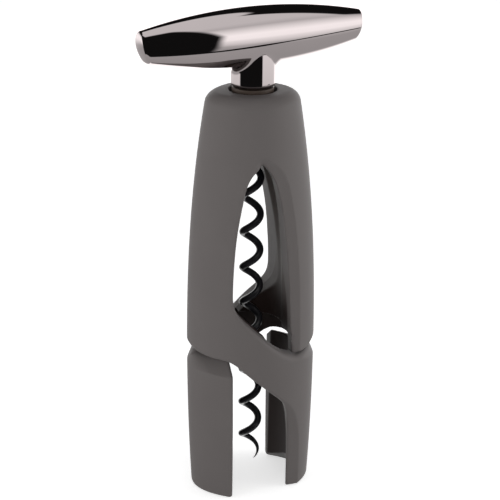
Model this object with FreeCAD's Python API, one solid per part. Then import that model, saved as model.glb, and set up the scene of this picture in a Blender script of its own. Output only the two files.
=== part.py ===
import FreeCAD, Part
import math
import os

V = FreeCAD.Vector

# Self-pulling corkscrew with a T-handle, in millimetres.
# Frame: +Z up along the screw, origin at the middle of the feet, front window towards -Y.
# The body is the same after half a turn about Z: two ribbons wind round a bottle cavity.

# ---- body shell -------------------------------------------------------------------
# height and half width (X) of the outline, foot to crown; half depth (Y) follows a share
body_stations = ((0.0, 22.7), (30.0, 23.8), (60.0, 24.0), (95.0, 23.0), (128.0, 20.2), (154.4, 16.3))
body_depth_share = (0.80, 0.84, 0.87, 0.90, 0.92, 0.93)
corner_pull = 0.09          # how far the oval is pulled in between its axes, for a soft lozenge
section_points = 16         # points on each oval
foot_edge = 0.8             # rounding under the feet
crown_edge = 3.2            # rounding round the crown
bore_radius = 11.3          # upper bore, takes a drawn cork
neck_radius = 15.6          # lower cavity, takes the rim of a bottle
rim_stop_height = 64.5      # shoulder where the bottle's rim stops

# ---- windows and slits ------------------------------------------------------------
slit_low = 56.4             # lower face of the slit between a leg and the band above it
slit_gap = 1.8
slit_reach = 28.0           # the slit tool runs out past the side wall here
slit_inset = 13.5           # the slit opens into the window at this half width
shoulder_edge = 3.6         # rounding of a lower leg's top
hem_edge = 1.6              # rounding of an upper leg's lower end
window_top = 131.4          # pointed top of the upper window
window_tip_x = -1.0         # the point lies a little left of the axis
window_left = 11.3          # greatest half width of the upper window, left edge
window_right = 10.5         # and right edge
window_corner = 11.3        # half width where the right edge meets the slit
arch_left = 11.2            # lower arch, left edge
arch_right = 11.1           # lower arch, right edge
arch_neck = 4.4             # half width where the arch's right edge leaves the band
arch_neck_height = 43.0
band_slope = 0.92           # fall of the diagonal band per millimetre across, at that neck
flare_depth = 2.6           # the flare's root below the skin beside the upper window
flare_width = 4.0
arch_flare_depth = 1.9      # the same beside the lower arch
arch_flare_width = 4.6
flare_lap = 0.6             # how far the flare's tool reaches into the opening

# ---- crown hole and guide bush ----------------------------------------------------
crown_hole_radius = 8.55
counterbore_depth = 5.0
bush_wall = 1.1
bush_recess = 2.4           # top of the bush below the crown
roof_thickness = 3.4        # left between the counterbore and the bore
bush_reach = 3.0            # how far the bush stands below the roof
fit_gap = 0.1               # around seated parts
running_gap = 0.35          # around the turning core

# ---- turning core, collar, handle ---------------------------------------------------
core_radius = 6.2
core_reach = 8.0            # how far the core stands below the roof
spigot_length = 12.8        # part of the core inside the stem and handle
groove_depth = 0.6          # neck that the collar snaps into
collar_height = 3.0
collar_radius = 7.4
collar_slot = 1.2
collar_gap = 0.15
stem_radius = 7.95
stem_edge = 1.6             # rounding round the foot of the stem
stem_blend = 2.5            # fillet between stem and handle
stem_show = 7.4             # bare stem between its foot and the handle's belly
handle_half_length = 43.5
handle_mid_height = 10.4    # half height in the middle
handle_end_height = 5.3     # half height at the ends
handle_mid_depth = 8.6      # half depth in the middle
handle_end_depth = 3.6      # half depth at the ends
handle_square = 2.4         # exponent of the handle's section, 2 is an ellipse
grip_points = 20            # points on each section of the handle
handle_end_slant = 10.0     # degrees, the handle is longer on top
handle_end_edge = 0.9
handle_turn = 14.0          # resting turn of the handle about Z, degrees

# ---- worm ---------------------------------------------------------------------------
wire_radius = 1.32
helix_radius = 3.13
worm_pitch = 13.76
worm_tip_height = 9.3
run_in_height = 6.6         # the wire runs in from the helix to the axis over this
shank_lead = 1.0            # straight shank below the core
shank_cover = 2.0           # core above the shank's end
taper_turns = 0.9
tip_radius = 0.12
worm_phase = -76.0          # where the tip points about Z, degrees
grub_radius = 1.5
grub_drop = 6.0             # axis of the grub screw below the core's top
grub_socket = 0.75          # half width across the flats of its socket
grub_socket_depth = 1.6
grub_seat = 0.02            # left between the screw and the shank it bears on
grub_sink = 0.3             # its socket end below the core's surface

# ---- tools ----------------------------------------------------------------------------
far = 60.0                  # cutting tools reach this far past the part
overcut = 1.0               # and this far past the face they open

# ---- places worked out from the sizes ----------------------------------------------------
slit_high = slit_low + slit_gap
crown_height = body_stations[-1][0]
counterbore_floor = crown_height - counterbore_depth
roof_height = counterbore_floor - roof_thickness
bush_top = crown_height - bush_recess
bush_bore = core_radius + running_gap
bush_radius = bush_bore + bush_wall
stem_foot = bush_top + fit_gap + collar_height + fit_gap
handle_height = stem_foot + stem_show + handle_mid_height
core_foot = roof_height - core_reach
core_top = stem_foot + spigot_length
shank_foot = core_foot - shank_lead
shank_top = core_top - shank_cover
helix_turns = (shank_foot - run_in_height - worm_tip_height) / worm_pitch
grub_height = core_top - grub_drop
window_tip = (window_tip_x, window_top)
neck = (arch_neck, arch_neck_height)
band_heading = (1.0, -band_slope)


def cylinder(radius, low, high):
    return Part.makeCylinder(radius, high - low, V(0, 0, low))


def half_turn(shape):
    turned = shape.copy()
    turned.rotate(V(0, 0, 0), V(0, 0, 1), 180)
    return turned


def oval_wire(half_width, half_depth, height):
    """Closed oval, drawn in a little between its axes so that it reads as a soft lozenge."""
    points = []
    for i in range(section_points):
        t = 2 * math.pi * i / section_points
        c, s = math.cos(t), math.sin(t)
        x = half_width * c * (1 - corner_pull * s * s)
        y = half_depth * s * (1 - corner_pull * c * c)
        points.append(V(x, y, height))
    curve = Part.BSplineCurve()
    curve.interpolate(Points=points, PeriodicFlag=True)
    return Part.Wire([curve.toShape()])


def body_solid():
    wires = []
    for (height, half_width), share in zip(body_stations, body_depth_share):
        wires.append(oval_wire(half_width, half_width * share, height))
    return Part.makeLoft(wires, True, False)


def outline_prism(edges, start_y, direction):
    """Solid swept from an outline in the XZ plane at start_y along a direction."""
    face = Part.Face(Part.Wire(edges))
    face.translate(V(0, start_y, 0))
    return face.extrude(direction)


def spline(points, start=(0, 0), end=(0, 0)):
    """Smooth edge through (x, z) points, with a set direction at either end where one is given."""
    headings = [V(start[0], 0, start[1])] + [V(0, 0, 0)] * (len(points) - 2) + [V(end[0], 0, end[1])]
    curve = Part.BSplineCurve()
    curve.interpolate(Points=[V(x, 0, z) for x, z in points], Tangents=headings,
                      TangentFlags=[heading.Length > 0 for heading in headings])
    return curve.toShape()


def line(a, b):
    return Part.makeLine(V(a[0], 0, a[1]), V(b[0], 0, b[1]))


def above_slit(share):
    """Height at a share of the way from the slit up to the window's point."""
    return slit_low + share * (window_top - slit_low)


def right_edge():
    """Right side of the upper window, from its point down to the slit."""
    shares = ((0.257, 0.941), (0.505, 0.848), (0.700, 0.701), (0.833, 0.555), (0.943, 0.368), (1.0, 0.181))
    side = [(window_right * across, above_slit(up)) for across, up in shares]
    return [window_tip] + side + [(window_corner, slit_high)]


def left_edge():
    """Band's upper edge and left side of the upper window, from the slit up to its point."""
    shares = ((0.823, 0.024), (0.354, 0.080), (-0.071, 0.140), (-0.407, 0.189), (-0.708, 0.235),
              (-0.938, 0.291), (-1.0, 0.375), (-0.965, 0.501), (-0.858, 0.675), (-0.673, 0.835),
              (-0.442, 0.941))
    side = [(window_left * across, above_slit(up)) for across, up in shares]
    return [(slit_inset, slit_low)] + side + [window_tip]


def upper_window():
    """Teardrop window whose lower right corner runs out into the side slit."""
    low_out = (slit_reach, slit_low)
    high_out = (slit_reach, slit_high)
    right, left = right_edge(), left_edge()
    return [line(low_out, left[0]), spline(left), spline(right), line(right[-1], high_out),
            line(high_out, low_out)]


def arch_edge():
    """Right side of the lower arch, from under the band down past the foot."""
    shares = ((0.720, 0.898), (0.900, 0.744), (0.977, 0.490))
    side = [(arch_right * across, arch_neck_height * up) for across, up in shares]
    return [neck] + side + [(arch_right, -overcut)]


def under_band():
    """Lower edge of the band, from the slit down to the neck of the arch."""
    fall = slit_high - arch_neck_height
    shares = ((0.112, 0.059), (0.324, 0.276), (0.654, 0.632))
    side = [((slit_inset + arch_neck) * across - slit_inset, slit_high - fall * down)
            for across, down in shares]
    return [(-slit_inset, slit_high)] + side + [neck]


def lower_arch():
    """Arch between the lower legs whose upper left corner runs out into the side slit."""
    high_out = (-slit_reach, slit_high)
    low_out = (-slit_reach, slit_low)
    low_in = (-arch_left, slit_low)
    band, right = under_band(), arch_edge()
    foot_left = (-arch_left + 0.6, right[-1][1])
    return [line(high_out, band[0]), spline(band, end=band_heading), spline(right, start=band_heading),
            line(right[-1], foot_left), line(foot_left, low_in), line(low_in, low_out),
            line(low_out, high_out)]


def skin_reach(outline, x, height):
    """How far the outline reaches towards -Y at x, at a height."""
    level = min(max(height, 0.01), crown_height - 0.01)
    probe = Part.makeLine(V(x, 0, level), V(x, -far, level))
    return probe.common(outline).Length


def flare_tool(outline, edge, depths, widths):
    """Solid in front of a flared strip: level four-sided sections, lofted from top to bottom.

    The strip's root lies a depth below the skin beside the opening, and the strip comes out to
    the skin over a width. Where the depth is below zero the tool stays clear of the skin."""
    sections = []
    for (x, height), depth, width in zip(edge, depths, widths):
        root = skin_reach(outline, x, height) - depth
        rim = skin_reach(outline, x + width, height) - min(depth, 0)
        rise = (rim - root) / width
        left, right = x - flare_lap, x + 2 * width
        corners = [V(left, -root + rise * flare_lap, height), V(right, -rim - rise * width, height),
                   V(right, -far, height), V(left, -far, height)]
        sections.append(Part.makePolygon(corners + corners[:1]))
    return Part.makeLoft(sections, True, False)


def upper_flare(outline):
    """Flare beside the upper window: it starts at the point, and thins out towards the slit."""
    edge = right_edge()[:-1] + [(window_corner, slit_high - slit_gap / 4)]
    depths = [flare_depth * share for share in (-0.15, 0.55, 0.9, 1.0, 1.0, 0.8, 0.55, 0.4)]
    widths = [flare_width * share for share in (1.0, 1.0, 1.0, 1.0, 0.98, 0.93, 0.85, 0.75)]
    return flare_tool(outline, edge, depths, widths)


def arch_flare(outline):
    """Flare beside the lower arch: it opens out from under the band and runs down to the foot."""
    depths = [arch_flare_depth * share for share in (-0.2, 0.45, 0.9, 1.0, 1.0)]
    widths = [arch_flare_width * share for share in (0.4, 0.5, 0.75, 0.95, 1.05)]
    return flare_tool(outline, arch_edge(), depths, widths)


def front_cuts(outline):
    """Everything that the front half of the mould takes out of the shell."""
    out = V(0, -far, 0)
    return [outline_prism(upper_window(), 0, out), outline_prism(lower_arch(), 0, out),
            upper_flare(outline), arch_flare(outline)]


def slab(low, high, left=-far, right=far, front=-far, back=far):
    return Part.makeBox(right - left, back - front, high - low, V(left, front, low))


def rounding(outline, flat_height, radius, region):
    """Ring that rounds an edge at flat_height; a negative radius rounds a lower edge."""
    size = abs(radius)
    lean = radius / size
    wires = []
    for share in (-0.1, 0.0, 0.25, 0.55, 1.0, 1.25):
        height = flat_height - lean * size * share
        inset = size * (1 - math.sqrt(max(0.0, 1 - (1 - min(share, 1.0)) ** 2)))
        if share < 0:
            inset = size * 1.25
        proud = 0.3 * max(0.0, share - 1.0)
        level = min(max(height, 0.01), crown_height - 0.01)
        extent = outline.slice(V(0, 0, 1), level)[0].BoundBox
        wires.append(oval_wire(extent.XMax - inset + proud, extent.YMax - inset + proud, height))
    core = Part.makeLoft(wires, True, False)
    low, high = sorted((flat_height + lean * size * 0.07, flat_height - lean * size * 1.2))
    return slab(low, high).cut(core).common(region)


def leg_roundings(outline):
    """Shoulder of the left lower leg, and hem of the left upper leg on its back half."""
    past_leg = 0.3 - arch_left
    front = slab(0, crown_height, right=past_leg, back=0)
    back = slab(0, crown_height, right=-slit_inset, front=0)
    hem = slab(0, crown_height, right=past_leg, front=0)
    return [rounding(outline, slit_low, shoulder_edge, front.fuse(back)),
            rounding(outline, slit_high, -hem_edge, hem)]


def end_roundings(outline):
    """Rings that round the crown and the feet all the way round."""
    everywhere = slab(-far, crown_height + far)
    return [rounding(outline, crown_height, crown_edge, everywhere),
            rounding(outline, 0, -foot_edge, everywhere)]


def body_shell():
    """One-piece shell: outline less bore, bottle cavity, windows, slits and crown hole."""
    outline = body_solid()
    shell = outline
    for ring in end_roundings(outline):
        shell = shell.cut(ring)
    shell = shell.cut(cylinder(bore_radius, -overcut, roof_height))
    shell = shell.cut(cylinder(neck_radius, -overcut, rim_stop_height))
    for cut in front_cuts(outline) + leg_roundings(outline):
        shell = shell.cut(cut)
        shell = shell.cut(half_turn(cut))
    shell = shell.cut(cylinder(crown_hole_radius, counterbore_floor, crown_height + overcut))
    return shell.cut(cylinder(bush_radius + fit_gap, roof_height - overcut, crown_height))


def guide_bush():
    """Flanged bush in the crown that steadies the core."""
    bush = cylinder(bush_radius, roof_height - bush_reach, bush_top)
    bush = bush.fuse(cylinder(crown_hole_radius - fit_gap, counterbore_floor, bush_top))
    return bush.cut(cylinder(bush_bore, 0, crown_height)).removeSplitter()


def slip_collar():
    """Split collar snapped into the neck of the core, between bush and stem."""
    low = bush_top + fit_gap
    ring = cylinder(collar_radius, low, low + collar_height)
    ring = ring.cut(cylinder(core_radius - groove_depth + collar_gap, 0, crown_height + far))
    slot = slab(0, crown_height + far, left=0, front=-collar_slot / 2, back=collar_slot / 2)
    return ring.cut(slot)


def screw_core():
    """Turning core: guide shank below, spigot inside the stem above."""
    core = cylinder(core_radius, core_foot, core_top)
    low = bush_top + fit_gap - collar_gap
    groove = cylinder(core_radius + overcut, low, stem_foot)
    groove = groove.cut(cylinder(core_radius - groove_depth, low - overcut, stem_foot + overcut))
    core = core.cut(groove)
    core = core.cut(cylinder(wire_radius + fit_gap, core_foot - overcut, shank_top + fit_gap))
    return core.cut(grub_body(grub_radius + fit_gap, core_radius + overcut))


def grub_body(radius, reach):
    """Radial cylinder from the worm's shank out to reach, square to the handle."""
    length = reach - wire_radius - grub_seat
    body = Part.makeCylinder(radius, length, V(0, reach - length, grub_height), V(0, 1, 0))
    body.rotate(V(0, 0, 0), V(0, 0, 1), handle_turn)
    return body


def grub_screw():
    """Set screw that clamps the worm's shank in the core."""
    outer = core_radius - grub_sink
    points = []
    for i in range(7):
        turn = math.radians(60 * i)
        size = grub_socket / math.cos(math.radians(30))
        points.append(V(size * math.cos(turn), outer, grub_height + size * math.sin(turn)))
    socket = Part.Face(Part.makePolygon(points)).extrude(V(0, -grub_socket_depth, 0))
    socket.rotate(V(0, 0, 0), V(0, 0, 1), handle_turn)
    return grub_body(grub_radius, outer).cut(socket)


def handle_half_size(x, mid, end):
    """Half size of the handle's section at x, a parabola from mid to end."""
    s = x / handle_half_length
    return mid + (end - mid) * s * s


def handle_section(x):
    """Squarish oval across the handle at x."""
    half_height = handle_half_size(x, handle_mid_height, handle_end_height)
    half_depth = handle_half_size(x, handle_mid_depth, handle_end_depth)
    points = []
    for i in range(grip_points):
        t = 2 * math.pi * i / grip_points
        c, s = math.cos(t), math.sin(t)
        spread = abs(c / half_depth) ** handle_square + abs(s / half_height) ** handle_square
        radius = spread ** (-1 / handle_square)
        points.append(V(x, radius * c, radius * s))
    curve = Part.BSplineCurve()
    curve.interpolate(Points=points, PeriodicFlag=True)
    return Part.Wire([curve.toShape()])


def handle_end_tool(side):
    """Block that cuts one end square, leaning so that the handle is longer on top."""
    block = slab(-far, far, left=0)
    block.rotate(V(0, 0, 0), V(0, 1, 0), handle_end_slant)
    block.translate(V(handle_half_length, 0, 0))
    if side < 0:
        block.rotate(V(0, 0, 0), V(0, 0, 1), 180)
    return block


def grip():
    """Spindle-shaped grip along X, its two ends cut at a slant and eased."""
    reach = handle_half_length + 2
    stations = [reach * k / 3 for k in range(-3, 4)]
    spindle = Part.makeLoft([handle_section(x) for x in stations], True, False)
    for side in (-1, 1):
        spindle = spindle.cut(handle_end_tool(side))
    ends = [e for e in spindle.Edges if abs(e.BoundBox.Center.x) > handle_half_length - 3
            and e.BoundBox.XLength < 6]
    spindle = spindle.makeFillet(handle_end_edge, ends)
    spindle.translate(V(0, 0, handle_height))
    return spindle


def handle():
    """Cross handle cast in one with its round stem, hollow for the core's spigot."""
    stem = cylinder(stem_radius, stem_foot, handle_height)
    foot_edges = [e for e in stem.Edges if e.BoundBox.ZMax < stem_foot + 0.01]
    stem = stem.makeFillet(stem_edge, foot_edges)
    body = grip().fuse(stem)
    joint = [e for e in body.Edges if abs(e.BoundBox.XMax - stem_radius) < 0.1
             and stem_foot + stem_edge < e.BoundBox.ZMin < handle_height and e.BoundBox.ZLength > 0.1]
    joint = [e for e in joint if e.BoundBox.YLength > stem_radius]
    body = body.makeFillet(stem_blend, joint)
    body = body.cut(cylinder(core_radius + fit_gap, stem_foot - overcut, core_top + fit_gap))
    body.rotate(V(0, 0, 0), V(0, 0, 1), handle_turn)
    return body


def helix_edge(turns, start_turn):
    """Right-hand helix of so many turns, from start_turn turns above the tip."""
    helix = Part.makeHelix(worm_pitch, worm_pitch * turns, helix_radius)
    helix.translate(V(0, 0, worm_tip_height + worm_pitch * start_turn))
    helix.rotate(V(0, 0, 0), V(0, 0, 1), worm_phase + 360 * start_turn)
    return helix


def ring_at(edge, parameter, radius):
    point = edge.valueAt(parameter)
    tangent = edge.tangentAt(parameter)
    return Part.Wire([Part.Circle(point, tangent, radius).toShape()])


def swept(path, first_radius, last_radius):
    edge = path.Edges[0]
    sweep = Part.BRepOffsetAPI.MakePipeShell(Part.Wire(path.Edges))
    sweep.setFrenetMode(True)
    sweep.add(ring_at(edge, edge.FirstParameter, first_radius))
    if abs(first_radius - last_radius) > 1e-6:
        sweep.add(ring_at(path.Edges[-1], path.Edges[-1].LastParameter, last_radius))
    sweep.build()
    sweep.makeSolid()
    return sweep.shape()


def run_in(coil_edge):
    """Path that brings the wire from the coil in to the axis."""
    start = coil_edge.valueAt(coil_edge.LastParameter)
    heading = coil_edge.tangentAt(coil_edge.LastParameter)
    rise = shank_foot - start.z
    curve = Part.BSplineCurve()
    curve.interpolate(Points=[start, V(0, 0, shank_foot)], Tangents=[heading * rise, V(0, 0, rise)],
                      TangentFlags=[True, True])
    return curve.toShape()


def worm():
    """Open steel helix with a ground point, its wire run in to a straight shank."""
    point = helix_edge(taper_turns, 0)
    coil = helix_edge(helix_turns - taper_turns, taper_turns)
    wire = swept(coil, wire_radius, wire_radius)
    wire = wire.fuse(swept(point, tip_radius, wire_radius))
    wire = wire.fuse(swept(run_in(coil.Edges[0]), wire_radius, wire_radius))
    return wire.fuse(cylinder(wire_radius, shank_foot, shank_top))


NODES = {
    "body_shell": body_shell,
    "guide_bush": guide_bush,
    "slip_collar": slip_collar,
    "screw_core": screw_core,
    "grub_screw": grub_screw,
    "handle": handle,
    "worm": worm,
}

if __name__ == "__main__":
    os.makedirs("parts", exist_ok=True)
    for node, make in NODES.items():
        make().exportStep("parts/" + node + ".step")
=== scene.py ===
# %% [markdown]
# # Dressing a corkscrew
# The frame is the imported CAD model: it fixes every size and every joint. This notebook puts the
# finished surfaces on it. A node that the frame names is either kept, with a better material, or
# replaced by a finer surface that fills the same space and rides on the same body.

# %% Load the frame
import math

import bpy
import numpy as np
from mathutils import Matrix, Vector


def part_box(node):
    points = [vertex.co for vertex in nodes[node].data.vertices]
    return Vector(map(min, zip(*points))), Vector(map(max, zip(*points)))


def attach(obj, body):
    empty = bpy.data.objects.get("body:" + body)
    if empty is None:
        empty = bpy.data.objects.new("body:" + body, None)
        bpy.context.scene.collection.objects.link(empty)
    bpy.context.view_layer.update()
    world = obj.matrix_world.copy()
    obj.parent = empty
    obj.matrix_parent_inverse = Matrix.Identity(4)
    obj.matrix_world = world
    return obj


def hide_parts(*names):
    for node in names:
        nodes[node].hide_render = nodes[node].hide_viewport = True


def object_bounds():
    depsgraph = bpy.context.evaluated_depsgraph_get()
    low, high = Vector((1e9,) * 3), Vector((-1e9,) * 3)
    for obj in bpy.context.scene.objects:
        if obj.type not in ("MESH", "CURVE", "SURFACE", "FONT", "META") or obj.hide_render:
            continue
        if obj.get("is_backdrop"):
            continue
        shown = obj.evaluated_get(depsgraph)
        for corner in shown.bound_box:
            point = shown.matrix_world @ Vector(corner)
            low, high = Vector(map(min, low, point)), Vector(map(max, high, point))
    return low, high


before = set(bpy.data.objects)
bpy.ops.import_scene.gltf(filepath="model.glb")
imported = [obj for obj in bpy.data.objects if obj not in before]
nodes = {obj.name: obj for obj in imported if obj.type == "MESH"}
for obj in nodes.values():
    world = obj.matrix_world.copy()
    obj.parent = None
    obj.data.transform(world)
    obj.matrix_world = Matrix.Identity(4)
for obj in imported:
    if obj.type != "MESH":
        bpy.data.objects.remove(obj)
cad_low, cad_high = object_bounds()
print("nodes:", sorted(nodes), "height %.1f mm" % ((cad_high.z - cad_low.z) * 1000))

# %% [markdown]
# ## Working in millimetres
# A corkscrew is drawn in millimetres, and Blender counts in metres. All shapes below are worked
# out in millimetres, and one function turns the finished arrays into a mesh. The object stays at
# the origin with its place in its vertices, so patterns on Object coordinates lie where they should.
# Normals can be handed over too: on polished metal they matter more than the number of faces.

# %% Turn arrays into a mesh
MM = 0.001


def make_piece(name, points, faces, body, normals=None):
    """A smooth-shaded mesh object from arrays of millimetre points and faces, riding on a body."""
    mesh = bpy.data.meshes.new(name)
    mesh.from_pydata((points * MM).tolist(), [], faces.tolist() if hasattr(faces, "tolist") else faces)
    mesh.validate()
    mesh.shade_smooth()
    if normals is not None:
        mesh.normals_split_custom_set_from_vertices(normals.tolist())
    piece = bpy.data.objects.new(name, mesh)
    bpy.context.scene.collection.objects.link(piece)
    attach(piece, body)
    print(name, "has", len(mesh.vertices), "vertices and", len(mesh.polygons), "faces")
    return piece


# %% [markdown]
# ## Shapes as fields
# The shell is one moulding whose soft edges have different radii, and the handle flows into its
# stem. Both could be box-modelled and bevelled, but bevels break up where curved cuts meet. Here
# each solid is a field: a number for every point in space, below zero inside and above zero
# outside, close to the distance in millimetres. Two fields meet or join along a rounded edge by
# one short formula, so every radius can be named and can change along an edge.

# %% Rounded meeting and joining of fields
def round_meet(a, b, radius):
    """What is inside both fields. Near their edge the value is the distance to a circular arc."""
    corner = np.hypot(np.maximum(a + radius, 0), np.maximum(b + radius, 0))
    return np.minimum(np.maximum(a, b), -radius) + corner


def round_join(a, b, radius):
    """What is inside either field, with a circular fillet in the inner corner."""
    return -round_meet(-a, -b, radius)


# %% [markdown]
# ## From a field to a surface
# A grid of samples finds the cells that the surface passes through. Each such cell gets one
# vertex, at the mean of the places where the field changes sign on its edges, and each grid edge
# that changes sign gets one face. Then a few Newton steps, value times gradient over gradient
# squared, pull the vertices exactly onto the surface, so the grid leaves no trace.

# %% Grid, vertices, faces
NEWTON_STEPS, FINE_REACH, SMOOTH_REACH = 3, 0.04, 0.2


def net_surface(values, low, step):
    """Vertices and outward quads where a block of samples changes sign."""
    inside = values < 0
    corners = [inside[i:i - 1 or None, j:j - 1 or None, k:k - 1 or None]
               for i in (0, 1) for j in (0, 1) for k in (0, 1)]
    count = sum(corner.astype(np.int8) for corner in corners)
    active = (count > 0) & (count < 8)
    cells = np.argwhere(active)
    number = np.full(active.shape, -1)
    number[active] = np.arange(len(cells))
    total, hits = np.zeros((len(cells), 3)), np.zeros(len(cells))
    faces = []
    for axis in range(3):
        along = np.eye(3, dtype=int)[axis]
        side_a, side_b = np.delete(np.eye(3, dtype=int), axis, axis=0)
        for start in (0 * side_a, side_a, side_b, side_a + side_b):
            first = cells + start
            last = first + along
            near, far = values[tuple(first.T)], values[tuple(last.T)]
            crosses = (near < 0) != (far < 0)
            share = near / np.where(crosses, near - far, 1)
            total += np.where(crosses[:, None], start + share[:, None] * along, 0)
            hits += crosses
        near = inside[tuple(slice(0, -1) if a == axis else slice(1, -1) for a in range(3))]
        far = inside[tuple(slice(1, None) if a == axis else slice(1, -1) for a in range(3))]
        shift = 1 - along
        for enters, order in ((near & ~far, (0, 1, 2, 3)), (far & ~near, (3, 2, 1, 0))):
            edge = np.argwhere(enters) + shift
            ring = [edge - side_a - side_b, edge - side_b, edge, edge - side_a]
            if axis == 1:
                ring = ring[::-1]
            faces.append(np.stack([number[tuple(ring[k].T)] for k in order], axis=1))
    return (cells + total / hits[:, None]) * step + low, np.concatenate(faces)


def slope(field, points, reach):
    """Gradient of a field at many points, from samples a small reach to either side."""
    columns = []
    for axis in np.eye(3) * reach:
        columns.append((field(*(points + axis).T) - field(*(points - axis).T)) / (2 * reach))
    return np.stack(columns, axis=1)


def surface_of(field, low, high, step):
    """Points, faces and unit normals of the surface where a field is zero inside a box."""
    axes = [np.arange(a - 1.5 * step, b + 2.5 * step, step) for a, b in zip(low, high)]
    x, y, z = np.meshgrid(*axes, indexing="ij")
    origin = np.array([axis[0] for axis in axes])
    points, faces = net_surface(field(x, y, z), origin, step)
    for _ in range(NEWTON_STEPS):
        gradient = slope(field, points, FINE_REACH)
        move = field(*points.T) / np.maximum((gradient ** 2).sum(axis=1), 0.2)
        points = points - np.clip(move, -step, step)[:, None] * gradient
    gradient = slope(field, points, SMOOTH_REACH)
    return points, faces, gradient / np.linalg.norm(gradient, axis=1)[:, None]


# %% [markdown]
# ## The outline of the shell
# Seen from above the shell is a soft lozenge, an oval drawn in a little between its axes. Its
# half width and half depth change slowly with height, so a polynomial through six stations gives
# a fair curve. The six stations are the ones that the CAD shell is lofted through.

# %% Outline field
STATION_HEIGHTS = np.array([0.0, 30.0, 60.0, 95.0, 128.0, 154.4])
STATION_HALF_WIDTHS = np.array([22.7, 23.8, 24.0, 23.0, 20.2, 16.3])
STATION_DEPTH_SHARES = np.array([0.80, 0.84, 0.87, 0.90, 0.92, 0.93])
CROWN_TOP = STATION_HEIGHTS[-1]
CORNER_PULL = 0.046
half_width = np.polynomial.Polynomial.fit(STATION_HEIGHTS, STATION_HALF_WIDTHS, 5)
STATION_HALF_DEPTHS = STATION_HALF_WIDTHS * STATION_DEPTH_SHARES
half_depth = np.polynomial.Polynomial.fit(STATION_HEIGHTS, STATION_HALF_DEPTHS, 5)


def outline_field(x, y, z):
    """Distance outside the oval: its radius in units of the half sizes, less one and a ripple of
    sine squared of twice the angle, over the slope of that radius."""
    wide, deep = half_width(z), half_depth(z)
    u, v = x / wide, y / deep
    square = u * u + v * v + 1e-9
    radius = np.sqrt(square)
    rim = 1 - CORNER_PULL * 4 * (u * v / square) ** 2
    return (radius - rim) * radius / np.sqrt((u / wide) ** 2 + (v / deep) ** 2 + 1e-12)


print("half width at mid height %.2f mm" % half_width(77.2))

# %% [markdown]
# ## Window and arch
# The openings are cut straight in from the front and, after half a turn, from the back. Each one
# is a closed curve in the XZ plane. A few listed points carry four numbers each: across, height,
# the radius of the moulded edge there, and the width of the flared strip beside it, which is 0
# where there is none. A cubic spline runs through all four at once. A thin slit leads from each
# opening to the side of the shell, and parts the shoulder of a leg from the hem above it.

# %% Spline through listed points
def curve_through(points, spacing=0.8):
    """Natural cubic spline through rows of numbers, stepped evenly along its chords."""
    p = np.array(points, float)
    t = np.r_[0, np.cumsum(np.hypot(*np.diff(p[:, :2], axis=0).T))]
    h = np.diff(t)
    inner = np.arange(1, len(t) - 1)
    matrix = np.eye(len(t))
    matrix[inner, inner - 1], matrix[inner, inner + 1] = h[:-1], h[1:]
    matrix[inner, inner] = 2 * (h[:-1] + h[1:])
    rise = np.diff(p, axis=0) / h[:, None]
    bend = np.linalg.solve(matrix, np.vstack([0 * p[:1], 6 * np.diff(rise, axis=0), 0 * p[:1]]))
    s = np.linspace(0, t[-1], max(2, int(t[-1] / spacing) + 1))
    k = np.clip(np.searchsorted(t, s, side="right") - 1, 0, len(h) - 1)
    a = ((t[k + 1] - s) / h[k])[:, None]
    b = 1 - a
    curl = (a ** 3 - a) * bend[k] + (b ** 3 - b) * bend[k + 1]
    return a * p[k] + b * p[k + 1] + curl * (h[k] ** 2)[:, None] / 6


SLIT_LOW, SLIT_HIGH, PAST_WALL = 56.4, 58.2, 29.0
SHOULDER_EDGE, HEM_EDGE = 1.3, 0.6
window_right = [(-1.0, 131.4, 0.7, 2.6), (2.7, 127.0, 0.5, 3.7), (5.3, 120.0, 0.5, 4.0),
                (7.4, 109.0, 0.5, 4.0), (8.7, 98.0, 0.5, 3.9), (9.9, 84.0, 0.5, 3.8),
                (10.5, 70.0, 0.5, 3.6), (11.3, SLIT_HIGH, 0.8, 3.2)]
window_left = [(17.5, SLIT_LOW, SHOULDER_EDGE, 0), (13.4, 56.8, 1.8, 0), (9.3, 58.7, 2.1, 0),
               (4.0, 62.4, 1.9, 0), (-0.8, 66.9, 1.8, 0), (-4.6, 70.6, 1.7, 0), (-8.0, 74.0, 1.5, 0),
               (-10.6, 78.2, 1.3, 0), (-11.3, 84.5, 1.2, 0), (-10.9, 94.0, 1.2, 0),
               (-9.7, 107.0, 1.2, 0), (-7.6, 119.0, 1.1, 0), (-5.0, 127.0, 1.0, 0),
               (-1.0, 131.4, 0.7, 0)]
arch_band = [(-16.0, SLIT_HIGH, HEM_EDGE, 0), (-12.3, 57.5, 1.0, 0), (-7.7, 54.0, 1.1, 0),
             (-1.8, 48.6, 1.2, 0), (4.4, 43.0, 1.0, 0)]
arch_right = [(4.4, 43.0, 1.0, 0.1), (8.0, 38.6, 0.7, 1.4), (10.0, 32.0, 0.6, 3.2),
              (10.9, 22.0, 0.6, 4.3), (11.1, 8.0, 0.6, 4.7), (11.1, -6.0, 0.6, 4.8)]
arch_left = [(-10.6, -6.0, 1.2, 0), (-11.2, SLIT_LOW, 1.4, 0)]
window = np.vstack([
    curve_through([(PAST_WALL, SLIT_LOW, SHOULDER_EDGE, 0), window_left[0]]),
    curve_through(window_left), curve_through(window_right),
    curve_through([window_right[-1], (PAST_WALL, SLIT_HIGH, HEM_EDGE, 0)])])
arch = np.vstack([
    curve_through([(-PAST_WALL, SLIT_HIGH, HEM_EDGE, 0), arch_band[0]]),
    curve_through(arch_band), curve_through(arch_right), curve_through(arch_left),
    curve_through([arch_left[-1], (-PAST_WALL, SLIT_LOW, SHOULDER_EDGE, 0)])])
print("window of", len(window), "points, arch of", len(arch), "points")

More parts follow.
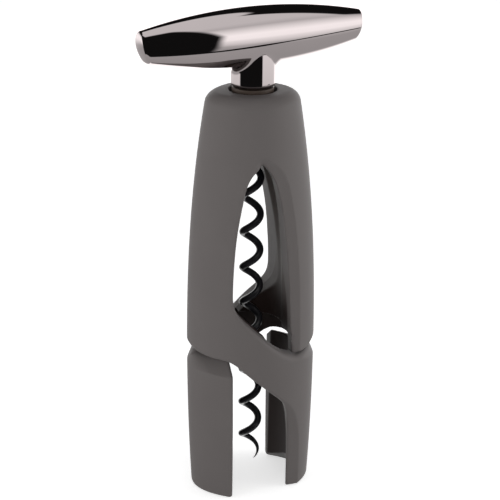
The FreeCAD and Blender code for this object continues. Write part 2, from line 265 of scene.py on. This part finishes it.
# %% [markdown]
# ## Charts of the openings
# How far is a place from a curve? Asking every vertex would be slow, so the answer is worked out
# once on a fine chart of the XZ plane and read back by blending the four nearest entries. One
# chart holds the distance to the openings, one the edge radius of the nearest stretch, and one
# how far the outer surface is lowered: beside the window and the arch by their flared strips, and
# along the slit by strips that round off the shoulder of each leg and the hem above it. Every
# strip is deepest at its curve and runs out at its width. A mask keeps it on its own side.

# %% Distance charts
CHART_STEP = 0.3
chart_x = np.arange(-30, 30.1, CHART_STEP)
chart_z = np.arange(-6, 161, CHART_STEP)


def nearest(curve, closed):
    """Distance from every chart entry to a curve, signed if it is closed, with its other columns."""
    here = np.stack(np.meshgrid(chart_x, chart_z, indexing="ij"), axis=-1).reshape(-1, 1, 2)
    start, end = curve[:-1], curve[1:]
    if closed:
        start, end = curve, np.roll(curve, -1, axis=0)
    lies = (start[:, :2] != end[:, :2]).any(axis=1)
    start, end = start[lies], end[lies]
    reach = (end - start)[:, :2]
    distance, extra = np.empty(len(here)), np.empty((len(here), 2))
    for part in np.array_split(np.arange(len(here)), 24):
        offset = here[part] - start[:, :2]
        share = np.clip((offset * reach).sum(axis=2) / (reach ** 2).sum(axis=1), 0, 1)
        gap = np.hypot(*np.moveaxis(offset - share[..., None] * reach, 2, 0))
        best = gap.argmin(axis=1)
        row = np.arange(len(part))
        distance[part] = gap[row, best]
        extra[part] = start[best, 2:] + share[row, best][:, None] * (end - start)[best, 2:]
        if closed:
            straddles = (offset[..., 1] < 0) != (here[part][..., 1] - end[:, 1] < 0)
            level = offset[..., 1] * reach[:, 0] / np.where(reach[:, 1] == 0, 1, reach[:, 1])
            within = (straddles & (offset[..., 0] < level)).sum(axis=1) % 2 == 1
            distance[part] *= np.where(within, -1, 1)
    shape = (len(chart_x), len(chart_z))
    return distance.reshape(shape), extra[:, 0].reshape(shape), extra[:, 1].reshape(shape)


FLARE_DEPTH_SHARE = 0.58
FLARE_SIDE, FLARE_TURN, LEG_SIDE = 10.9, 66, -11
leg_top = [(-PAST_WALL, SLIT_LOW, 0.42, 4.4), (-23.0, SLIT_LOW, 0.5, 4.5),
           (-18.0, SLIT_LOW, 1.05, 4.8), (-11.2, SLIT_LOW, 1.1, 4.8)]
band_top = [(PAST_WALL, SLIT_LOW, 0.42, 4.4), (20.0, SLIT_LOW, 0.42, 3.6), (13.4, 56.8, 0.3, 0)]
band_hem = [(-PAST_WALL, SLIT_HIGH, 0.75, 2.6), (-22.0, SLIT_HIGH, 0.6, 2.0), (-17.0, SLIT_HIGH, 0.3, 0)]
ribbon_hem = [(PAST_WALL, SLIT_HIGH, 0.75, 2.6), (22.0, SLIT_HIGH, 0.6, 2.0), (17.0, SLIT_HIGH, 0.3, 0)]
to_window, window_radius, _ = nearest(window, True)
to_arch, arch_radius, _ = nearest(arch, True)
opening_chart = np.minimum(to_window, to_arch)
radius_chart = np.where(to_window < to_arch, window_radius, arch_radius)
across, up = chart_x[:, None], chart_z[None, :]
above, below = up > SLIT_HIGH - CHART_STEP / 3, up < SLIT_LOW + CHART_STEP / 3
beside_window = above & ((across > FLARE_SIDE) | (up > FLARE_TURN))
strips = [(window_right, FLARE_DEPTH_SHARE, beside_window), (arch_right, FLARE_DEPTH_SHARE, below),
          (leg_top, None, below & (across < LEG_SIDE)), (band_top, None, below),
          (band_hem, None, above), (ribbon_hem, None, above)]
lowered_chart = np.zeros_like(opening_chart)
for strip, share, where in strips:
    away, own_share, width = nearest(curve_through(strip), False)
    depth = np.clip(width - away, 0, None) * (share or own_share)
    lowered_chart = np.maximum(lowered_chart, np.where(where, depth, 0))


def read_chart(chart, x, z):
    """Bilinear reading of a chart: each neighbour weighs by how near it is."""
    i = np.clip((x - chart_x[0]) / CHART_STEP, 0, len(chart_x) - 1.001)
    k = np.clip((z - chart_z[0]) / CHART_STEP, 0, len(chart_z) - 1.001)
    i0, k0 = i.astype(int), k.astype(int)
    a, b = i - i0, k - k0
    return ((chart[i0, k0] * (1 - a) + chart[i0 + 1, k0] * a) * (1 - b)
            + (chart[i0, k0 + 1] * (1 - a) + chart[i0 + 1, k0 + 1] * a) * b)


window_area = (to_window < 0).sum() * CHART_STEP ** 2
print("charts of", opening_chart.shape, "entries, window area %.0f mm2" % window_area)

# %% [markdown]
# ## The shell
# Outline, crown, foot and openings meet with their own radii, and the bore, the wider cavity for
# the bottle's rim and the hole for the bush are taken out. Near the floor one more hollow splays
# outwards and thins the legs to a lip. The back half reads the same charts after half a turn.
# One grid of samples gives the whole moulding in a single closed mesh.

# %% Shell
BORE, NECK, RIM_STOP, ROOF = 11.3, 15.6, 64.5, 146.0
CROWN_HOLE, COUNTERBORE_FLOOR, BUSH_HOLE = 8.55, 149.4, 7.75
CROWN_EDGE, CROWN_DOME, FOOT_EDGE, INNER_EDGE = 3.6, 0.9, 1.5, 0.35
FOOT_LIP, FOOT_SPLAY = 1.7, 0.9
HOLE_OVERLAP, SHELL_STEP = 1, 0.56


def shell_field(x, y, z):
    """The outline lowered by the flares, met by crown, foot, openings and the turned hollows."""
    turn = np.where(y > 0, -1.0, 1.0)
    outer = outline_field(x, y, z) + read_chart(lowered_chart, x * turn, z)
    crown = z - CROWN_TOP + CROWN_DOME * ((x / half_width(z)) ** 2 + (y / half_depth(z)) ** 2)
    body = round_meet(outer, crown, CROWN_EDGE)
    body = round_meet(body, -z, FOOT_EDGE)
    body = round_meet(body, -read_chart(opening_chart, x * turn, z), read_chart(radius_chart, x * turn, z))
    r = np.hypot(x, y)
    hollow = np.minimum(np.maximum(r - BORE, z - ROOF), np.maximum(r - NECK, z - RIM_STOP))
    hollow = np.minimum(hollow, np.maximum(r - BUSH_HOLE, ROOF - HOLE_OVERLAP - z))
    hollow = np.minimum(hollow, np.maximum(r - CROWN_HOLE, COUNTERBORE_FLOOR - z))
    hollow = np.minimum(hollow, (outer + FOOT_LIP + FOOT_SPLAY * z) / math.hypot(1, FOOT_SPLAY))
    return round_meet(body, -hollow, INNER_EDGE)


shell_low, shell_high = (np.array(corner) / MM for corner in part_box("body_shell"))
points, faces, normals = surface_of(shell_field, shell_low, shell_high, SHELL_STEP)
shell = make_piece("shell", points, faces, "body", normals)
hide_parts("body_shell")

# %% [markdown]
# ## The handle
# The grip is a spindle whose section is a squarish oval, a superellipse, that thins towards the
# ends by a parabola. The ends are cut at a slant and slightly domed. The round stem joins it with
# a fillet, wide along the grip and nearly sharp across it, and is hollow for the core's spigot.
# Polished metal shows every wave, so its normals come from the field itself.

# %% Handle
HANDLE_TURN = math.radians(14.0)
HANDLE_HEIGHT, HALF_LENGTH = 173.0, 43.5
MID_HEIGHT, END_HEIGHT, MID_DEPTH, END_DEPTH, SQUARENESS = 10.4, 5.3, 8.6, 3.6, 2.4
END_SLANT, END_CROWN, END_EDGE = math.radians(10), 13.0, 0.9
STEM_RADIUS, STEM_FOOT, STEM_EDGE, STEM_FILLET = 7.95, 155.2, 1.6, 2.5
LEAST_FILLET, SPIGOT_HOLE, SPIGOT_TOP, HANDLE_STEP = 0.15, 6.3, 168.1, 0.42


def handle_field(x, y, z):
    """Superellipse spindle cut by two crowned planes, joined to a rounded cylinder by a fillet."""
    along = x * math.cos(HANDLE_TURN) + y * math.sin(HANDLE_TURN)
    across = y * math.cos(HANDLE_TURN) - x * math.sin(HANDLE_TURN)
    up = z - HANDLE_HEIGHT
    taper = (along / HALF_LENGTH) ** 2
    tall = MID_HEIGHT + (END_HEIGHT - MID_HEIGHT) * taper
    deep = MID_DEPTH + (END_DEPTH - MID_DEPTH) * taper
    u, v = np.abs(across / deep) + 1e-6, np.abs(up / tall) + 1e-6
    size = (u ** SQUARENESS + v ** SQUARENESS) ** (1 / SQUARENESS)
    lean = np.hypot((u / size) ** (SQUARENESS - 1) / deep, (v / size) ** (SQUARENESS - 1) / tall)
    grip = (size - 1) / lean
    end = (np.abs(along) - HALF_LENGTH) * math.cos(END_SLANT) - up * math.sin(END_SLANT)
    end = end + (across ** 2 + up ** 2) / (2 * END_CROWN)
    grip = round_meet(grip, end, END_EDGE)
    r = np.hypot(x, y)
    stem = round_meet(np.maximum(r - STEM_RADIUS, up), STEM_FOOT - z, STEM_EDGE)
    fillet = STEM_FILLET * along ** 2 / (r ** 2 + 0.01) + LEAST_FILLET
    solid = round_join(grip, stem, fillet)
    return np.maximum(solid, -np.maximum(r - SPIGOT_HOLE, z - SPIGOT_TOP))


handle_low, handle_high = (np.array(corner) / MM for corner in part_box("handle"))
points, faces, normals = surface_of(handle_field, handle_low, handle_high, HANDLE_STEP)
handle = make_piece("handle_finish", points, faces, "screw", normals)
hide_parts("handle")

# %% [markdown]
# ## The worm
# A wire bent into an open right-hand helix and ground to a point. Its centre line is a formula:
# a helix, then a cubic curve that brings the wire in to the axis, then a straight shank. Rings
# round that line make the surface, and two poles close it.

# %% Worm
WIRE, HELIX, PITCH, TIP_HEIGHT, TURNS = 1.32, 3.13, 13.76, 9.3, 8.8
TIP_TURN, TAPER_TURNS, SHANK_FOOT, SHANK_END, AROUND = math.radians(-76), 0.9, 137.0, 141.0, 28
STEPS_PER_TURN, RUN_IN_STEPS, POINT_RADIUS, TAPER_POWER = 44, 20, 0.08, 0.8


def worm_line():
    """Helix by angle, a Hermite run-in from its end to the axis, and a straight end up the axis."""
    turn = np.linspace(0, TURNS, int(TURNS * STEPS_PER_TURN))
    angle = TIP_TURN + 2 * np.pi * turn
    coil = np.stack([HELIX * np.cos(angle), HELIX * np.sin(angle), TIP_HEIGHT + PITCH * turn], axis=1)
    heading = (coil[-1] - coil[-2]) / np.linalg.norm(coil[-1] - coil[-2])
    target, rise = np.array([0, 0, SHANK_FOOT]), SHANK_FOOT - coil[-1, 2]
    t = np.linspace(0, 1, RUN_IN_STEPS)[1:, None]
    run_in = ((2 * t ** 3 - 3 * t ** 2 + 1) * coil[-1] + (t ** 3 - 2 * t ** 2 + t) * heading * rise
              + (3 * t ** 2 - 2 * t ** 3) * target + (t ** 3 - t ** 2) * np.array([0, 0, rise]))
    line = np.vstack([coil, run_in, [[0, 0, SHANK_END]]])
    share = np.clip(np.arange(len(line)) / (STEPS_PER_TURN * TAPER_TURNS), 0, 1)
    return line, POINT_RADIUS + (WIRE - POINT_RADIUS) * np.sin(share * np.pi / 2) ** TAPER_POWER


def tube(line, radii, around):
    """Rings square to a line, each centre plus radius times cosine and sine of two side vectors."""
    ahead = np.gradient(line, axis=0)
    ahead /= np.linalg.norm(ahead, axis=1)[:, None]
    side = np.cross(ahead, [0, 1, 0])
    side /= np.linalg.norm(side, axis=1)[:, None]
    over = np.cross(ahead, side)
    angle = np.linspace(0, 2 * np.pi, around, endpoint=False)
    spokes = side[:, None] * np.cos(angle)[:, None] + over[:, None] * np.sin(angle)[:, None]
    rings = line[:, None] + radii[:, None, None] * spokes
    points = np.vstack([rings.reshape(-1, 3), line[:1] - ahead[:1] * radii[0], line[-1:]])
    i, j = np.meshgrid(np.arange(len(line) - 1), np.arange(around), indexing="ij")
    k = (j + 1) % around
    quads = np.stack([i * around + j, i * around + k, (i + 1) * around + k, (i + 1) * around + j], axis=-1)
    j = np.arange(around)
    k = (j + 1) % around
    first, last, end = len(points) - 2, len(points) - 1, (len(line) - 1) * around
    caps = np.vstack([np.stack([j * 0 + first, k, j], axis=1),
                      np.stack([j * 0 + last, end + j, end + k], axis=1)])
    return points, quads.reshape(-1, 4).tolist() + caps.tolist()


line, radii = worm_line()
points, faces = tube(line, radii, AROUND)
worm = make_piece("worm_finish", points, faces, "screw")
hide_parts("worm")

# %% [markdown]
# ## Shader sums in Python
# A material is a graph, and long graphs are hard to read as calls that add nodes. This small
# class wraps a socket so that plain arithmetic adds the Math nodes, and one method adds any other
# node with its settings and its inputs.

# %% Wires and finishes
class Wire:
    """A shader socket that takes part in Python sums."""

    def __init__(self, finish, socket):
        self.finish, self.socket = finish, socket

    def sum_with(self, operation, first, second):
        """The Math node behind an operator."""
        return self.finish.calculate(operation, first, second)

    def __add__(self, other):
        return self.sum_with("ADD", self, other)

    def __sub__(self, other):
        return self.sum_with("SUBTRACT", self, other)

    def __rsub__(self, other):
        return self.sum_with("SUBTRACT", other, self)

    def __mul__(self, other):
        return self.sum_with("MULTIPLY", self, other)

    __radd__ = __add__
    __rmul__ = __mul__


class Graph:
    """A node tree, with one method that adds any node."""

    def __init__(self, tree):
        self.tree = tree

    def node(self, kind, settings=None, inputs=None, output=0):
        """Add a node, set it up, feed its inputs and return one of its outputs, if it has any."""
        node = self.tree.nodes.new(kind)
        for key, value in (settings or {}).items():
            if key == "stops":
                self.place_stops(node.color_ramp, value)
            else:
                setattr(node, key, value)
        for key, value in (inputs or {}).items():
            self.feed(node.inputs[key], value)
        return Wire(self, node.outputs[output]) if node.outputs else None

    def place_stops(self, ramp, stops):
        """Give a ramp its stops: a place from 0 to 1 and a grey level each."""
        for _ in stops[2:]:
            ramp.elements.new(0.5)
        for stop, (place, level) in zip(ramp.elements, stops):
            stop.position, stop.color = place, (level, level, level, 1)

    def feed(self, socket, value):
        """Link a wire to an input, or set the input to a plain value."""
        if isinstance(value, Wire):
            self.tree.links.new(value.socket, socket)
        else:
            socket.default_value = value

    def calculate(self, operation, *values):
        """A Math node, for the operations that have no sign in Python too."""
        return self.node("ShaderNodeMath", {"operation": operation}, dict(enumerate(values)))

    def past(self, value, edge, soft):
        """0 below an edge and 1 above it, eased over soft on either side."""
        limits = {"Value": value, "From Min": edge - soft, "From Max": edge + soft}
        return self.node("ShaderNodeMapRange", {"interpolation_type": "SMOOTHSTEP"}, limits)


class Finish(Graph):
    """A material and its Principled shader."""

    def __init__(self, name, **plain):
        self.material = bpy.data.materials.new(name)
        self.material.use_nodes = True
        super().__init__(self.material.node_tree)
        self.surface = self.tree.nodes["Principled BSDF"]
        self.set(**plain)
        self.place = self.node("ShaderNodeTexCoord", output="Object")

    def set(self, **inputs):
        """Feed inputs of the shader, named with _ for each space."""
        for key, value in inputs.items():
            self.feed(self.surface.inputs[key.replace("_", " ")], value)

    def noise(self, scale, detail=2.0):
        """Noise that stays with the piece, its scale in waves per metre."""
        inputs = {"Vector": self.place, "Scale": scale, "Detail": detail}
        return self.node("ShaderNodeTexNoise", {}, inputs)

    def between(self, mask, first, second):
        """A mix of two colours, each given as red, green and blue or as a wire."""
        first, second = (end if isinstance(end, Wire) else (*end, 1) for end in (first, second))
        return self.node("ShaderNodeMix", {"data_type": "RGBA"}, {"Factor": mask, 6: first, 7: second}, 2)

    def bump(self, height, strength, distance):
        """Tilt the normals as if the surface rose by height times distance, in metres."""
        inputs = {"Height": height, "Strength": strength, "Distance": distance}
        self.set(Normal=self.node("ShaderNodeBump", {}, inputs))

    def on(self, piece):
        """Put this material in every slot of a piece, and first make a slot if it has none."""
        if not piece.material_slots:
            piece.data.materials.append(None)
        for slot in piece.material_slots:
            slot.material = self.material
        print(piece.name, "wears", self.material.name, "of", len(self.tree.nodes), "nodes")


# %% [markdown]
# ## Finishes
# The shell is sprayed with a soft-touch lacquer: dull and even, with a very fine grain. The spray
# doesn't reach the bore and the cavity, where the bare moulding shows. Its colour there is darker
# low in the cavity than high up the bore, as painted shade, and this dark zone reaches out over the
# inner part of the cut faces low down, also as painted shade. The handle is black nickel over a
# polished casting, so its colour is the tint of its mirror. The worm carries a slippery black
# coating that still shines softly.

# %% Soft-touch shell
# Painted shade: height and fade of the darkening of the bare moulding low in the bore and cavity.
BORE_PAINTED_SHADE_HEIGHT, BORE_PAINTED_SHADE_FADE = 0.084, 0.013
SPRAY_GAP, SPRAY_FADE, CROWN_FADE = 0.2, 0.0004, 0.0001
soft_touch = Finish("soft_touch_grey", Specular_IOR_Level=0.22)
cloud = soft_touch.noise(55.0, 3.0)
grain = soft_touch.noise(5200.0, 2.0)
lacquer = soft_touch.between(cloud, (0.112, 0.101, 0.099), (0.125, 0.114, 0.111))
x, y, z = (soft_touch.node("ShaderNodeSeparateXYZ", {}, {0: soft_touch.place}, axis) for axis in range(3))
from_axis = soft_touch.calculate("SQRT", x * x + y * y)
# Painted shade: this mask darkens the bare moulding low down and widens the unsprayed zone there.
above_painted_shade = soft_touch.past(z, BORE_PAINTED_SHADE_HEIGHT, BORE_PAINTED_SHADE_FADE)
spray_and_painted_shade_limit = (NECK + SPRAY_GAP) * MM - (NECK - BORE) * MM * above_painted_shade
sprayed_outside_painted_shade = soft_touch.past(from_axis - spray_and_painted_shade_limit, 0.0, SPRAY_FADE)
crown = soft_touch.past(z, COUNTERBORE_FLOOR * MM, CROWN_FADE)
sprayed_outside_painted_shade = soft_touch.calculate("MAXIMUM", sprayed_outside_painted_shade, crown)
# Dark low in the cavity, lighter high up the bore: painted shade on the bare moulding.
bare_with_painted_shade = soft_touch.between(above_painted_shade, (0.024, 0.015, 0.013), (0.116, 0.099, 0.089))
soft_touch.set(Base_Color=soft_touch.between(sprayed_outside_painted_shade, bare_with_painted_shade, lacquer), Roughness=0.52 + 0.08 * cloud)
soft_touch.bump(grain, 0.12, 0.00004)
soft_touch.on(shell)

# %% Black nickel handle
nickel = Finish("black_nickel", Metallic=1.0)
haze = nickel.noise(40.0, 2.0)
nickel.set(Base_Color=nickel.between(haze, (0.565, 0.505, 0.505), (0.595, 0.535, 0.535)),
           Roughness=0.012 + 0.016 * haze)
nickel.on(handle)

# %% Worm coating
coating = Finish("non_stick_black", Specular_IOR_Level=0.6)
speck = coating.noise(1500.0, 2.0)
coating.set(Base_Color=coating.between(speck, (0.008, 0.008, 0.010), (0.014, 0.014, 0.017)),
            Roughness=0.26 + 0.08 * speck)
coating.bump(speck, 0.1, 0.00003)
coating.on(worm)

# %% [markdown]
# The bush, the collar, the core and the grub screw keep their CAD meshes, untouched. They are plain
# turned parts whose shape is right already, so each only gets a finish in its material slots.

# %% Turned parts
def moulded(name, dark, light, rough):
    """A plain plastic with a faint mottle in its colour, its roughness and its surface."""
    finish = Finish(name)
    mottle = finish.noise(700.0, 2.0)
    finish.set(Base_Color=finish.between(mottle, dark, light), Roughness=rough + 0.08 * mottle)
    finish.bump(mottle, 0.08, 0.00003)
    return finish


black_acetal = moulded("black_acetal", (0.006, 0.006, 0.006), (0.010, 0.010, 0.010), 0.34)
black_acetal.on(nodes["guide_bush"])
brown_acetal = moulded("brown_acetal", (0.050, 0.036, 0.028), (0.070, 0.052, 0.042), 0.36)
brown_acetal.on(nodes["slip_collar"])
black_nylon = moulded("black_nylon", (0.008, 0.008, 0.008), (0.014, 0.014, 0.014), 0.42)
black_nylon.on(nodes["screw_core"])
steel = Finish("plain_steel", Metallic=1.0)
turning = steel.noise(2500.0, 2.0)
steel.set(Base_Color=steel.between(turning, (0.40, 0.40, 0.41), (0.52, 0.52, 0.53)),
          Roughness=0.28 + 0.1 * turning)
steel.on(nodes["grub_screw"])

# %% [markdown]
# ## Stage
# Polished nickel shows its surroundings, so most of the work of lighting it is in what it reflects.
# A product studio is a white tent with a dark gap where the camera stands, and another dark gap
# high up behind. A thin seam where two sheets of the tent meet runs low on the right, and a bright
# backdrop hangs behind. The world holds that tent as sums of direction: azimuth from the front,
# towards +X, and elevation, both in degrees. Camera rays see plain white instead. Rays that light
# dull surfaces see a dimmer tent, most of all overhead, with weaker gaps. The tent stays put when
# the camera moves. An edge is a pair of angles: where it lies, and how far it fades either way.
# Only GAP_FOOT is counted from the seam.

# %% The tent
world = bpy.data.worlds.new("studio")
bpy.context.scene.world = world
world.use_nodes = True
world.node_tree.nodes.clear()
sky = Graph(world.node_tree)
DEGREES = 180 / math.pi
TENT = ((-90, 0.42), (-22, 0.50), (-17, 0.62), (-9, 1.50), (-1, 1.55), (10, 1.15), (22, 0.70),
        (34, 0.84), (90, 0.86))
GAP_LEFT, GAP_TOP, GAP_FOOT = (-84.0, 3.0), (47.0, 4.0), (-1.0, 1.0)
GAP_RIGHT, GAP_RIGHT_FADE, GAP_RIGHT_LEAN = 32.5, 1.6, -0.22
REAR_SIDE, REAR_TOP, REAR_FOOT = (77.0, 2.5), (63.0, 1.5), (25.0, 3.0)
SEAM_START, SEAM_END, SEAM_NARROWS = (17.0, 1.0), (78.0, 3.0), (49.0, 6.0)
SEAM_TOP, SEAM_SAG, SEAM_FLAT, SEAM_TURN, SEAM_REACH = -15.3, -9.8, 72.0, 17.0, 1.53
SEAM_HALF_WIDTH, SEAM_NARROWING, SEAM_FADE = 2.0, 1.2, 0.3
BACKDROP_RIGHT, BACKDROP_LEFT, BACKDROP_LIGHT = (122.0, 16.0), (-168.0, 6.0), 1.2
DULL_GAPS, DULL_DIM, OVERHEAD_DIM, OVERHEAD, GLOW = 0.35, 0.2, 0.32, (30.0, 30.0), 0.008

looks = sky.node("ShaderNodeTexCoord", output="Generated")
east, north, rise = (sky.node("ShaderNodeSeparateXYZ", {}, {0: looks}, axis) for axis in range(3))
azimuth = sky.calculate("ARCTAN2", east, 0 - north) * DEGREES
elevation = sky.calculate("ARCSINE", rise) * DEGREES
stops = [((height + 90) / 180, level) for height, level in TENT]
wall = sky.node("ShaderNodeValToRGB", {"stops": stops}, {0: elevation * (1 / 180) + 0.5})
aside = sky.calculate("ABSOLUTE", azimuth)
limits = {"Value": azimuth, "From Min": SEAM_FLAT, "From Max": SEAM_TURN, "To Max": SEAM_REACH}
turned_away = sky.node("ShaderNodeMapRange", {}, limits)
seam_height = turned_away * turned_away * SEAM_SAG + SEAM_TOP
seam_width = SEAM_HALF_WIDTH - SEAM_NARROWING * sky.past(azimuth, *SEAM_NARROWS)
seam = (sky.past(elevation - seam_height + seam_width, 0.0, SEAM_FADE)
        * (1 - sky.past(elevation - seam_height - seam_width, 0.0, SEAM_FADE)))
seam = seam * sky.past(azimuth, *SEAM_START) * (1 - sky.past(azimuth, *SEAM_END))
slant = sky.calculate("MAXIMUM", elevation, 0.0) * GAP_RIGHT_LEAN + GAP_RIGHT
camera_gap = (sky.past(azimuth, *GAP_LEFT) * (1 - sky.past(azimuth, slant, GAP_RIGHT_FADE))
              * (1 - sky.past(elevation, *GAP_TOP)) * sky.past(elevation - seam_height, *GAP_FOOT))
rear_gap = (sky.past(aside, *REAR_SIDE) * (1 - sky.past(elevation, *REAR_TOP))
            * sky.past(elevation, *REAR_FOOT))
behind = sky.past(azimuth, *BACKDROP_RIGHT) + 1 - sky.past(azimuth, *BACKDROP_LEFT)
backdrop = behind * (1 - sky.past(elevation, *REAR_FOOT)) * BACKDROP_LIGHT
camera_ray = sky.node("ShaderNodeLightPath", output="Is Camera Ray")
glossy_ray = sky.node("ShaderNodeLightPath", output="Is Glossy Ray")
gap_depth = DULL_GAPS + (1 - DULL_GAPS) * glossy_ray
gaps = (1 - camera_gap * gap_depth) * (1 - rear_gap * gap_depth) * (1 - seam * gap_depth)
overhead = sky.past(elevation, *OVERHEAD)
dimming = (1 - glossy_ray) * (DULL_DIM + OVERHEAD_DIM * overhead)
tent = ((wall + backdrop) * gaps + GLOW) * (1 - dimming)
white = (1, 1, 1, 1)
strength = camera_ray + (1 - camera_ray) * tent
background = sky.node("ShaderNodeBackground", {}, {"Color": white, "Strength": strength})
sky.node("ShaderNodeOutputWorld", {}, {"Surface": background})
print("tent of", len(sky.tree.nodes), "nodes")

# %% [markdown]
# The floor takes the shadows. It is left out of reflections, because the tent already has a lower
# half, and it glows for the camera alone, so that it fades into the white background.

# %% Floor
FLOOR_HALF, FLOOR_GLOW = 3, 0.60
floor_mesh = bpy.data.meshes.new("floor")
corners = [(-1, -1), (1, -1), (1, 1), (-1, 1)]
floor_mesh.from_pydata([(x * FLOOR_HALF, y * FLOOR_HALF, 0) for x, y in corners], [], [(0, 1, 2, 3)])
floor = bpy.data.objects.new("floor", floor_mesh)
bpy.context.scene.collection.objects.link(floor)
floor.visible_glossy = False
floor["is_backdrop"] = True
paper = Finish("white_paper", Base_Color=(0.86, 0.86, 0.86, 1), Roughness=0.9, Emission_Strength=1.0)
seen = paper.node("ShaderNodeLightPath", output="Is Camera Ray")
paper.set(Emission_Color=paper.between(seen, (0.0,) * 3, (FLOOR_GLOW,) * 3))
paper.on(floor)


# %% Lamps
AIM = Vector((0, 0, 0.09))
LAMP_SIZE = 0.6


def soft_lamp(name, place, power):
    """A square lamp that looks at the middle of the corkscrew."""
    data = bpy.data.lights.new(name, "AREA")
    data.size, data.energy = LAMP_SIZE, power
    lamp = bpy.data.objects.new(name, data)
    bpy.context.scene.collection.objects.link(lamp)
    lamp.location = place
    lamp.rotation_euler = (AIM - Vector(place)).to_track_quat("-Z", "Y").to_euler()
    lamp.visible_glossy = False
    print(name, "of %.1f W" % power)


soft_lamp("front_lamp", (-0.1, -0.95, 0.2), 2.0)
soft_lamp("left_lamp", (-0.95, -0.25, 0.2), 4.8)
soft_lamp("right_lamp", (0.95, -0.3, 0.2), 4.4)

# %% [markdown]
# ## Camera
# The camera stands a little to the left of the front, 21 degrees above the horizon, with a long
# lens. Its place is worked out from the distance to the axis, the height and the heading.

# %% Camera
DISTANCE, EYE_HEIGHT, HEADING, PITCH_DOWN, ROLL = 453.05, 269.58, 16.13, 21.194, 0.55
LENS, SENSOR, SIDE_SHIFT = 96.15, 36.0, -0.0027
heading, pitch = math.radians(HEADING), math.radians(PITCH_DOWN)
forward = Vector((math.sin(heading) * math.cos(pitch), math.cos(heading) * math.cos(pitch),
                  -math.sin(pitch)))
right = Vector((math.cos(heading), -math.sin(heading), 0))
turn = Matrix((right, right.cross(forward), -forward)).transposed().to_4x4()
lens = bpy.data.cameras.new("camera")
lens.lens, lens.sensor_width, lens.shift_x = LENS, SENSOR, SIDE_SHIFT
camera = bpy.data.objects.new("camera", lens)
bpy.context.scene.collection.objects.link(camera)
place = Vector((-DISTANCE * math.sin(heading), -DISTANCE * math.cos(heading), EYE_HEIGHT)) * MM
camera.matrix_world = Matrix.Translation(place) @ turn @ Matrix.Rotation(math.radians(ROLL), 4, "Z")
bpy.context.scene.camera = camera
bpy.context.scene.view_settings.view_transform = "Standard"

# %% Compare the boxes
low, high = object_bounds()
excess = [round((a - b) / MM, 2) for a, b in zip([*low, *high], [*cad_low, *cad_high])]
print("visual box over CAD box, mm:", excess)
